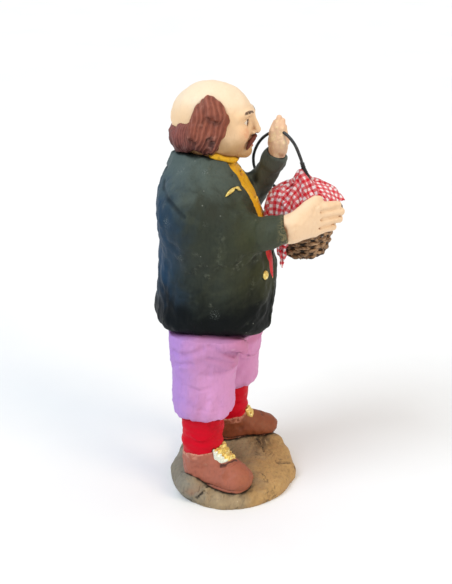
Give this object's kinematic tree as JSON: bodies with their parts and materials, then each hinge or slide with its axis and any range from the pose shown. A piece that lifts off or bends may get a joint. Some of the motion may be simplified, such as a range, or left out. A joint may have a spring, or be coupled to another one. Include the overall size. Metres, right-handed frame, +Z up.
{
  "type": "terracotta man figurine",
  "caption": "Painted terracotta folk figurine of a standing man on a mound base, holding a small wicker basket with a wire handle and a gingham cloth.",
  "frame": {"origin": "centre of the base's flat underside", "axes": "+Z up along the standing figure, which faces -Y, with its right hand at -X"},
  "size_m": [0.0779, 0.0991, 0.2219],
  "materials": {
    "painted_clay": "hand-painted matt acrylic on fired clay: dark green coat, lilac breeches, red socks, brown shoes, cream skin, earth-coloured mound",
    "wicker": "fine woven cane, unvarnished, darkened between the strands",
    "black_wire": "black covered wire, satin, wrapped ends",
    "gingham_cotton": "red and white woven gingham check"
  },
  "bodies": {
    "root": {"figure": "painted_clay", "basket": "wicker", "basket_handle": "black_wire", "cloth": "gingham_cotton"}
  },
  "joints": []
}
